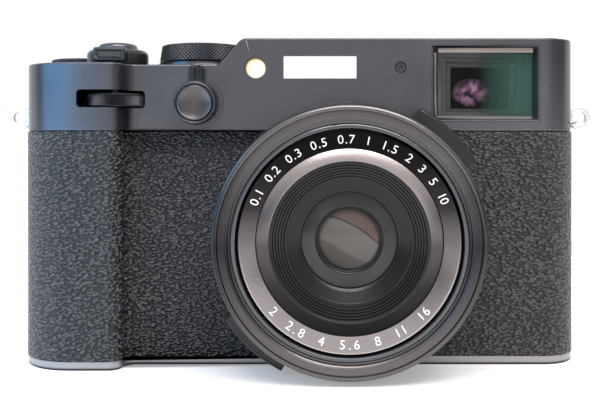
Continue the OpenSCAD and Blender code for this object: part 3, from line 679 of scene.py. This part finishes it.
def eased(name, finish=None, width=0.22, segments=2, angle=32, where=None):
    """A copy of a CAD piece with its sharp edges rounded over, in place of the sharp one.

    where picks the edges by the places of their two ends; without it, all sharp edges are rounded.
    """
    source = nodes[name]
    copy = bpy.data.objects.new(name + "_eased", source.data.copy())
    scene.collection.objects.link(copy)
    only(copy)
    bpy.ops.mesh.customdata_custom_splitnormals_clear()
    bpy.ops.object.mode_set(mode="EDIT")
    bpy.ops.mesh.select_all(action="SELECT")
    bpy.ops.mesh.remove_doubles(threshold=WELD * MM)
    if where is None:
        bpy.ops.mesh.dissolve_limited(angle_limit=math.radians(1.2))
    else:
        bpy.context.tool_settings.mesh_select_mode = (False, True, False)
        bpy.ops.mesh.select_all(action="DESELECT")
        bpy.ops.mesh.edges_select_sharp(sharpness=math.radians(angle))
    bpy.ops.object.mode_set(mode="OBJECT")
    if where is not None:
        points = copy.data.vertices
        weight = copy.data.attributes.new("bevel_weight_edge", "FLOAT", "EDGE")
        for edge in copy.data.edges:
            ends = [points[i].co / MM for i in edge.vertices]
            if edge.select and all(where(end) for end in ends):
                weight.data[edge.index].value = 1.0
    bpy.ops.object.modifier_add(type="BEVEL")
    soft = copy.modifiers[-1]
    soft.width = width * MM
    soft.segments = segments
    soft.limit_method = "ANGLE" if where is None else "WEIGHT"
    soft.angle_limit = math.radians(angle)
    soft.use_clamp_overlap = False
    soft.miter_outer = "MITER_ARC"
    bpy.ops.object.modifier_apply(modifier=soft.name)
    bpy.ops.object.shade_smooth_by_angle(angle=math.radians(50))
    bpy.ops.object.modifier_add(type="WEIGHTED_NORMAL")
    flatten = copy.modifiers[-1]
    flatten.keep_sharp = True
    flatten.weight = 100
    bpy.ops.object.modifier_apply(modifier=flatten.name)
    return stand_in(copy, finish or SLOT_OF[name], name)


def boxed(name, low, high, place=(0, 0, 0), ease=0.2, segments=2):
    """A block drawn up from its footprint, with rounded edges."""
    clear_selection()
    low, high = Vector(low), Vector(high)
    mid = (low + high) / 2
    bpy.ops.mesh.primitive_plane_add(size=1, location=(0, 0, 0))
    obj = bpy.context.object
    obj.name = name
    obj.data.name = name
    bpy.ops.object.mode_set(mode="EDIT")
    bpy.ops.mesh.select_all(action="SELECT")
    bpy.ops.transform.resize(value=((high.x - low.x) * MM, (high.y - low.y) * MM, 1))
    lift = {"value": (0, 0, (high.z - low.z) * MM)}
    bpy.ops.mesh.extrude_region_move(TRANSFORM_OT_translate=lift)
    bpy.ops.mesh.select_all(action="SELECT")
    bpy.ops.mesh.normals_make_consistent(inside=False)
    bpy.ops.mesh.bevel(offset=ease * MM, segments=segments, affect="EDGES")
    bpy.ops.object.mode_set(mode="OBJECT")
    settle(obj, (mid.x + place[0], mid.y + place[1], low.z + place[2]))
    return obj


# ---------------------------------------------------------------- figures

def figure(text, size):
    """One flat figure, made a mesh, centred on its middle."""
    clear_selection()
    bpy.ops.object.text_add(location=(0, 0, 0))
    obj = bpy.context.object
    obj.data.body = text
    obj.data.size = size * MM
    obj.data.extrude = 0.015 * MM
    obj.data.resolution_u = 3
    obj.data.align_x = "CENTER"
    obj.data.align_y = "CENTER"
    bpy.ops.object.convert(target="MESH")
    return obj


def put_figures(name, marks, on_node):
    """Joins (text, size, place, right, up) into one painted piece that goes with a CAD node."""
    made = []
    for text, size, place, right, up in marks:
        obj = figure(text, size)
        out = right.cross(up)
        frame_of_mark = Matrix((right, up, out)).transposed().to_4x4()
        frame_of_mark.translation = place * MM
        obj.matrix_world = frame_of_mark
        bpy.ops.object.transform_apply(location=True, rotation=True, scale=True)
        made.append(obj)
    clear_selection()
    for obj in made:
        obj.select_set(True)
    bpy.context.view_layer.objects.active = made[0]
    bpy.ops.object.join()
    whole = bpy.context.object
    whole.name = name
    whole.data.name = name
    return go_with(whole, "white_paint", on_node)


def round_lens(text, start, pitch, outward):
    """Figures one by one round the name ring, from a start angle, with their pitch in degrees."""
    size, r, f = 2.75, 21.55, 33.80
    marks = []
    for i, letter in enumerate(text):
        if letter == " ":
            continue
        a = math.radians(start - pitch * i if outward else start + pitch * i)
        radial = Vector((math.cos(a), 0, math.sin(a)))
        up = radial * math.cos(RING_SLOPE) + Vector((0, -1, 0)) * math.sin(RING_SLOPE)
        right = Vector((math.sin(a), 0, -math.cos(a)))
        if not outward:
            up, right = -up, -right
        place = Vector(LENS) + radial * r + Vector((0, -f, 0))
        marks.append((letter, size, place, right, up))
    return marks


def round_dial(words, size, centre, r, z, start):
    """Numbers round the top of a dial, one click apart, feet towards its middle."""
    marks = []
    for i, word in enumerate(words):
        a = math.radians(start - CLICK_DEG * i)
        up = Vector((math.cos(a), math.sin(a), 0))
        right = Vector((math.sin(a), -math.cos(a), 0))
        marks.append((word, size, Vector((centre[0], centre[1], z)) + up * r, right, up))
    return marks


# ---------------------------------------------------------------- body

def dress_body():
    """Covers, leather, doors and small metal parts, each with its edges eased."""
    low, high = span("top_cover")
    eased("top_cover", width=0.35, segments=3,
          where=lambda co: co.z < low.z + 0.1 or co.z > high.z - 0.1 or abs(co.z - 68.75) < 0.05)
    base = eased("base_plate", "base_painted_shadow", width=0.25, segments=3)
    only(base)
    bpy.context.tool_settings.mesh_select_mode = (True, False, False)
    pick(base, lambda co: co.z > 1.6)
    bpy.ops.transform.translate(value=(0, 0, 0.28 * MM))
    clear_selection()
    eased("front_cover", width=0.2)
    eased("rear_cover", width=0.3)
    eased("grip_leather", width=0.05, segments=1)
    eased("side_leather", width=0.05, segments=1)
    eased("battery_door", width=0.25)
    eased("connector_door", width=0.2)
    eased("hot_shoe", width=0.2)
    eased("strap_lugs", width=0.35, segments=3)
    eased("focus_mode_switch", width=0.25)
    eased("screws", width=0.12)


# ---------------------------------------------------------------- lens

def groove_profile(r0, f0, r1, f1, count, depth):
    """Points of a funnel wall that goes down in small ridges."""
    points = []
    for i in range(count):
        k0 = i / count
        k1 = (i + 0.55) / count
        r_top = r0 + (r1 - r0) * k0
        r_land = r0 + (r1 - r0) * k1
        f_top = f0 + (f1 - f0) * k0
        points.append((r_top, f_top))
        points.append((r_land, f_top - 0.10))
        points.append((r_land - 0.05, f_top - depth))
    return points


def make_lens():
    """The mount, the rings, the ridged funnel with its cone, the numbers and the glass."""
    eased("lens_mount", width=0.25, segments=3)
    eased("lens_barrel")
    eased("aperture_ring", "tab_black", width=0.3, segments=3)
    thread = []
    for i in range(4):
        f = 34.75 + i * 0.28
        thread += [(25.62, f), (25.75, f + 0.12)]
    outer = [(25.0, 32.7), (RIM_R - 0.3, 32.7), (RIM_R, 33.0), (RIM_R, 35.1), (RIM_R - 0.15, 35.3),
             (RIM_R - 0.4, 35.42), (28.3, 35.82), (28.15, RIM_F), (27.75, RIM_F - 0.02), (27.6, 35.58),
             (26.15, 35.88), (26.0, 35.86), (25.85, 35.7)]
    inner = [(25.62, 34.6), (25.0, 34.6), (25.0, 32.7)]
    rim = turned("front_rim", outer + thread[::-1] + inner, LENS, FORWARD, 192)
    stand_in(rim, "rim_painted_reflection", "front_ring")
    lip = turned("bright_lip", [(24.2, 34.4), (25.0, 34.4), (25.0, 34.85), (24.4, 35.38),
                                (24.25, 35.38), (24.2, 35.3), (24.2, 34.4)], LENS, FORWARD, 192)
    go_with(lip, "bright_lip", "lens_barrel")
    grip = turned("focus_grip", [(25.0, 26.8), (28.9, 26.8), (29.3, 27.2), (29.4, 27.5), (29.4, 31.7),
                                 (29.3, 32.0), (28.9, 32.4), (25.0, 32.4), (25.0, 26.8)],
                  LENS, FORWARD, 440, [(29.0, 27.3, 31.9, 0.22, False)])
    stand_in(grip, "knurled_metal", "focus_ring")
    name_ring = turned("figure_ring", [(19.85, 31.9), (23.45, 31.9), (23.45, 34.1), (23.3, 34.25),
                                       (23.1, 34.25), (22.9, 34.2), (19.85, 33.12), (19.85, 31.9)],
                       LENS, FORWARD, 160)
    stand_in(name_ring, "name_ring_painted_reflection", "name_ring")
    ridges = groove_profile(16.6, 34.0, 13.75, 32.3, 5, 0.42)
    ridges += [(13.7, 31.9), (13.35, 31.85)]
    ridges += groove_profile(13.3, 31.5, 10.9, 29.2, 7, 0.30)
    funnel = turned("ridged_funnel", [(10.45, 23.6), (11.6, 23.6), (11.6, 26), (19.8, 26), (19.8, 32.85),
                                      (19.6, 32.95), (17.1, 34.15), (16.75, 34.15)] + ridges +
                    [(10.45, 28.9), (10.45, 23.6)], LENS, FORWARD, 144, smooth=22)
    stand_in(funnel, "baffle_black", "ridged_baffle")
    cone = turned("baffle_cone", [(17.15, 34.0), (19.55, 32.85), (19.7, 32.92), (19.62, 33.06),
                                  (17.2, 34.19), (17.05, 34.19), (17.15, 34.0)], LENS, FORWARD, 144)
    go_with(cone, "cone_painted_reflection", "ridged_baffle")
    figures = round_lens("0.1  0.2  0.3  0.5  0.7  1  1.5  2  3  5  10", 157, 3.1, True)
    figures += round_lens("2  2.8  4  5.6  8  11  16", 222, 4.0, False)
    put_figures("ring_figures", figures, "name_ring")
    make_glass()


def dome(r, f, sag, thick, count=8, inner=0.0):
    """Profile of a glass with a rounded front, whole or with its middle open."""
    ball = (r * r + sag * sag) / (2 * sag)
    reach = [inner + (r - inner) * i / count for i in range(count, -1, -1)]
    arc = [(x, f + math.sqrt(ball * ball - x * x) - (ball - sag)) for x in reach]
    if inner:
        return [(inner, f - thick), (r, f - thick)] + arc + [(inner, f - thick)]
    return [(0, f - thick), (r, f - thick)] + arc


def make_glass():
    """Front glass, the ring that holds the inner group, and the inner glass."""
    front = turned("front_glass", dome(10.35, 28.3, 1.15, 0.6, 8, 7.35), LENS, FORWARD, 120, smooth=60)
    stand_in(front, "front_coating", "front_element")
    holder = turned("inner_holder", [(6.55, 27.0), (7.35, 27.0), (7.35, 28.86), (7.22, 28.95),
                                     (7.05, 28.86), (6.95, 28.7), (6.8, 28.7), (6.72, 28.8),
                                     (6.55, 28.72), (6.55, 27.0)], LENS, FORWARD, 120)
    go_with(holder, "baffle_black", "ridged_baffle")
    inner = turned("inner_glass", dome(6.58, 28.0, 0.75, 0.5), LENS, FORWARD, 96, smooth=60)
    go_with(inner, "inner_coating_painted_reflections", "front_element")


# ---------------------------------------------------------------- finder, flash and lamp

def make_windows():
    """The finder with its edges painted bright as lit and brown as reflecting, the eyepiece, the flash and
    the focus lamp.
    """
    eased("viewfinder_frame", "finder_bezel", width=0.18, segments=2)
    eased("viewfinder_tunnel", "finder_steps", width=0.15)
    paint(nodes["viewfinder_glass"], "finder_coating")
    # finder prism: dark, with a painted glow
    paint(nodes["viewfinder_prism"], "finder_depth_painted_glow")
    low, high = span("viewfinder_frame")
    # painted reflection: a brown strip along the top wall of the finder window
    visor = boxed("finder_visor", (low.x + 1.4, low.y + 0.35, high.z - 1.75),
                  (high.x - 1.3, low.y + 1.0, high.z - 0.55), ease=0.22)
    go_with(visor, "visor_painted_reflection", "viewfinder_frame")
    # painted light: lighter strips on the bottom and left walls of the finder window
    sill = boxed("finder_sill", (low.x + 0.9, low.y + 0.3, low.z + 0.45),
                 (high.x - 1.6, low.y + 0.8, low.z + 1.15), ease=0.16)
    go_with(sill, "sill_painted_light", "viewfinder_frame")
    jamb = boxed("finder_jamb", (low.x + 0.5, low.y + 0.3, low.z + 1.15),
                 (low.x + 1.1, low.y + 0.8, high.z - 1.8), ease=0.16)
    go_with(jamb, "sill_painted_light", "viewfinder_frame")
    eased("eyepiece_frame", "rubber", width=0.5, segments=3)
    eased("flash_window", width=0.15)
    at = middle("focus_lamp")
    lens = turned("lamp_dome", [(0, 13.6), (2.35, 13.6), (2.35, 14.6), (2.2, 14.85), (1.6, 15.0),
                                (0.8, 15.08), (0, 15.1)], (at.x, 0, at.z), FORWARD, 48)
    stand_in(lens, "lamp_lens", "focus_lamp")
    bezel = turned("lamp_bezel", [(2.3, 14.0), (2.62, 14.0), (2.62, 15.3), (2.5, 15.3), (2.3, 14.9),
                                  (2.3, 14.0)], (at.x, 0, at.z), FORWARD, 48)
    go_with(bezel, "black_metal", "focus_lamp")


# ---------------------------------------------------------------- top controls

def make_controls():
    """The dials, the release with its switch, the function button and the front selector."""
    speed = middle("shutter_speed_dial")
    at = (speed.x, speed.y, 0)
    dial = turned("speed_dial", [(0, 66.4), (3, 66.4), (3, 69.9), (8.3, 69.9), (8.6, 70.2)] +
                  rows(8.6, 71.0, 73.8, 5) +
                  [(8.35, 74.1), (8.0, 74.2), (3.6, 74.1), (3.5, 74.0), (0, 74.0)], at,
                  steps=168, teeth=[(8.5, 70.9, 73.8, 0.16, True)])
    stand_in(dial, "knurled_metal", "shutter_speed_dial")
    words = ["4000", "2000", "1000", "500", "250", "125", "60", "30", "15", "8", "4", "2", "1"]
    put_figures("speed_figures", round_dial(words, 1.9, at, 6.5, 74.18, 90), "shutter_speed_dial")
    iso = turned("sensitivity_grip", [(8.75, 69.9), (10.2, 69.9), (10.4, 70.1)] +
                 [(10.4 - 0.5 * i / 8, 70.3 + 3.3 * i / 8) for i in range(9)] +
                 [(9.65, 73.95), (9.45, 74.0), (8.75, 74.0), (8.75, 69.9)],
                 at, steps=150, teeth=[(9.7, 70.2, 73.6, 0.2, True)])
    stand_in(iso, "knurled_metal", "sensitivity_ring")

    shutter = middle("shutter_button")
    at = (shutter.x, shutter.y, 0)
    button = turned("release_button", [(0, 64.2), (1.8, 64.2), (1.8, 70.2), (4.4, 70.2), (4.6, 70.4),
                                       (4.6, 73.3), (4.4, 73.75), (3.9, 74.1), (3.0, 74.3), (2.1, 74.38),
                                       (1.45, 74.3), (1.2, 74.15), (1.2, 71.5), (0, 71.4)], at, steps=72)
    stand_in(button, "black_metal", "shutter_button")
    make_switch_grip()

    spot = middle("exposure_dial")
    at = (spot.x, spot.y, 0)
    dial = turned("exposure_grip", [(0, 66.2), (2.5, 66.2), (2.5, 69), (8.1, 69), (8.3, 69.2)] +
                  rows(8.3, 69.3, 71.1, 3) + [(8.1, 71.4), (7.8, 71.5), (0, 71.45)], at, steps=150,
                  teeth=[(8.2, 69.2, 71.15, 0.14, True)])
    stand_in(dial, "knurled_metal", "exposure_dial")
    words = ["3", "2", "1", "0", "-1", "-2", "-3"]
    put_figures("exposure_figures", round_dial(words, 2.2, at, 6.1, 71.47, 0), "exposure_dial")

    for name, lo, hi in (("front_dial", 58.95, 61.9), ("rear_dial", 61.2, 64.8)):
        low, high = span(name)
        spot = (low + high) / 2
        r = (high.x - low.x) / 2
        wheel = turned(name + "_grip", [(0, low.z), (1, low.z), (1, lo), (r - 0.2, lo), (r, lo + 0.2)] +
                       rows(r, lo + 0.35, hi - 0.35, 6) +
                       [(r, hi - 0.2), (r - 0.2, hi), (1, hi), (1, high.z), (0, high.z)],
                       (spot.x, spot.y, 0), steps=120,
                       teeth=[(r - 0.1, lo + 0.3, hi - 0.3, 0.26, True)])
        stand_in(wheel, "knurled_metal", name)

    spot = middle("function_button")
    cap = turned("function_cap", [(0, 66.1), (3.2, 66.1), (3.2, 66.9), (2.5, 66.9), (2.5, 69.3),
                                  (2.35, 69.45), (1.6, 69.4), (0, 69.35)], (spot.x, spot.y, 0), steps=48)
    stand_in(cap, "black_metal", "function_button")
    make_selector()


def make_switch_grip():
    """The on-off ring round the release, with a knurled pad framed in its finger tab."""
    spot = middle("shutter_button")
    front_y = span("power_switch")[0].y
    ring = turned("switch_ring", [(4.72, 69.0), (7.0, 69.0), (7.15, 69.2), (7.15, 71.4), (7.0, 71.95),
                                  (6.6, 72.4), (6.0, 72.66), (5.6, 72.7), (4.85, 72.7), (4.72, 72.55),
                                  (4.72, 69.0)], (spot.x, spot.y, 0), steps=96)
    stand_in(ring, "dark_metal", "power_switch")
    tab = boxed("switch_tab", (-3.7, -9.0, 69.4), (3.7, -5.4, 72.7), (spot.x, spot.y, 0), 0.55, 3)
    only(tab)
    pick(tab, lambda co: co.y < front_y + 0.1)
    bpy.ops.mesh.inset(thickness=0.35 * MM)
    bpy.ops.mesh.inset(thickness=0.08 * MM, depth=-0.3 * MM)
    bpy.ops.object.mode_set(mode="OBJECT")
    go_with(tab, "dark_metal", "power_switch")

    wide, tall, across, up = 5.4, 1.7, 17, 6
    clear_selection()
    bpy.ops.mesh.primitive_grid_add(x_subdivisions=across, y_subdivisions=up, size=1, location=(0, 0, 0))
    pad = bpy.context.object
    pad.name = "switch_pad"
    bpy.ops.object.mode_set(mode="EDIT")
    bpy.ops.mesh.select_all(action="SELECT")
    bpy.ops.transform.resize(value=(wide * MM, tall * MM, 1))

    def peak(co):
        if abs(co.x) > wide / 2 - 0.1 or abs(co.y) > tall / 2 - 0.1:
            return False
        column = round((co.x + wide / 2) / wide * across)
        row = round((co.y + tall / 2) / tall * up)
        return (column + row) % 2 == 1
    pick(pad, peak)
    bpy.ops.transform.translate(value=(0, 0, 0.16 * MM))
    bpy.ops.mesh.select_all(action="SELECT")
    bpy.ops.mesh.quads_convert_to_tris(quad_method="SHORTEST_DIAGONAL")
    bpy.ops.object.mode_set(mode="OBJECT")
    settle(pad, (spot.x, front_y + 0.26, 71.05), FORWARD, 15)
    go_with(pad, "knurled_metal", "power_switch")


def make_selector():
    """The small lever round its button, on the front."""
    low, high = span("selector_button")
    x = (low.x + high.x) / 2
    z = (low.z + high.z) / 2
    place = (x, 0, z)
    lever = turned("selector_ring", [(0, 12.9), (1.2, 12.9), (1.2, 16.35), (4.6, 16.35), (4.9, 16.6),
                                     (4.9, 19.9), (4.75, 20.2), (4.5, 20.3), (4.25, 20.2), (4.15, 20.0),
                                     (4.15, 17.0), (0, 17.0)], place, FORWARD, 72)
    stand_in(lever, "dark_metal", "selector_lever")
    stem = turned("selector_stem", [(0, 63.9), (1.9, 63.9), (1.9, 64.6), (1.6, 65.0), (1.6, 67.7),
                                    (1.45, 68.1), (1.1, 68.3), (0, 68.3)], (x, -18.05, 0), steps=24,
                  teeth=[(1.5, 65.0, 67.8, 0.30, False)])
    go_with(stem, "knurled_metal", "selector_lever")
    FINISH["selector_face"] = spun_metal("selector_face", (0.105, 0.100, 0.102), 0.24, place)
    cap = turned("selector_cap", [(0, 17.5), (3.95, 17.5), (4.05, 17.7), (4.05, 20.3), (3.9, 20.5),
                                  (3.6, 20.58), (3.4, 20.45), (1.5, 20.35), (0, 20.3)], place, FORWARD, 72)
    stand_in(cap, "selector_face", "selector_button")


# ---------------------------------------------------------------- rear

def make_rear():
    """The six buttons, the joystick, the screen and the eyesight dial."""
    for name in ("play_button", "drive_button", "lock_button", "quick_button", "menu_button",
                 "display_button"):
        low, high = span(name)
        spot = (low + high) / 2
        cap = turned(name + "_cap", [(0, -12.3), (3.1, -12.3), (3.1, -13.1), (2.6, -13.1), (2.6, -15.8),
                                     (2.45, -16.05), (2.2, -16.1), (1.2, -16.0), (0, -15.95)],
                     (spot.x, 0, spot.z), FORWARD, 40)
        stand_in(cap, "black_plastic", name)
    spot = middle("joystick")
    stick = turned("joystick_cap", [(0, -11.8), (1.3, -11.8), (1.3, -16.2), (2.7, -16.2), (2.9, -16.4),
                                    (2.9, -16.9), (2.75, -17.15), (2.4, -17.2), (1.6, -16.9), (0, -16.8)],
                   (spot.x, 0, spot.z), FORWARD, 60, teeth=[(2.3, -17.3, -16.3, 0.12, False)])
    stand_in(stick, "rubber", "joystick")
    eased("screen_bracket", width=0.15)
    eased("screen_panel", "black_plastic", width=0.35, segments=3)
    low, high = span("screen_panel")
    pane = boxed("screen_pane", (low.x + 2.2, 16.0, low.z + 1.2), (high.x - 2.2, 16.29, high.z - 1.2),
                 ease=0.12)
    go_with(pane, "screen_glass", "screen_panel")
    eased("eyepiece_lens", width=0.15)
    dial = middle("diopter_dial")
    low, high = span("diopter_dial")
    wheel = turned("diopter_grip", ring_of(0, 3.4, low.x - dial.x, high.x - dial.x, 0.2)[:-1],
                   (dial.x, dial.y, dial.z), RIGHTWARD, 60, [(3.3, -0.95, 0.95, 0.16, False)])
    stand_in(wheel, "knurled_metal", "diopter_dial")


def make_underside():
    """The thread of the tripod socket and the contacts of the accessory shoe."""
    thread = []
    for i in range(6):
        h = 0.35 + i * 0.8
        thread += [(3.45, h), (3.2, h + 0.4)]
    socket = turned("tripod_thread", [(3.6, 0), (5.0, 0), (5.0, 6), (0, 6), (0, 5.5), (3.2, 5.5)] +
                    thread[::-1] + [(3.3, 0.15), (3.6, 0)], (0, 0, 0), steps=64)
    stand_in(socket, "steel", "tripod_socket")
    shoe = middle("hot_shoe")
    for i, (dx, dy) in enumerate(((0, 1.5), (-3.2, -1.5), (3.2, -1.5), (-3.2, -4.2), (3.2, -4.2))):
        r = 1.25 if i == 0 else 0.7
        pin = turned("shoe_contact_%d" % (i + 1), disc_of(r, 72.8, 73.0, 0.05, 0.03),
                     (shoe.x + dx, shoe.y + dy, 0), steps=24)
        go_with(pin, "gold", "hot_shoe")


# ---------------------------------------------------------------- everything in turn

make_camera()
make_floor()
make_room()
for part in record["subparts"]:
    paint(nodes[part["node"]], part["material_slot"])
dress_body()
make_lens()
make_windows()
make_controls()
make_rear()
make_underside()
clear_selection()
scene.view_settings.view_transform = "Standard"
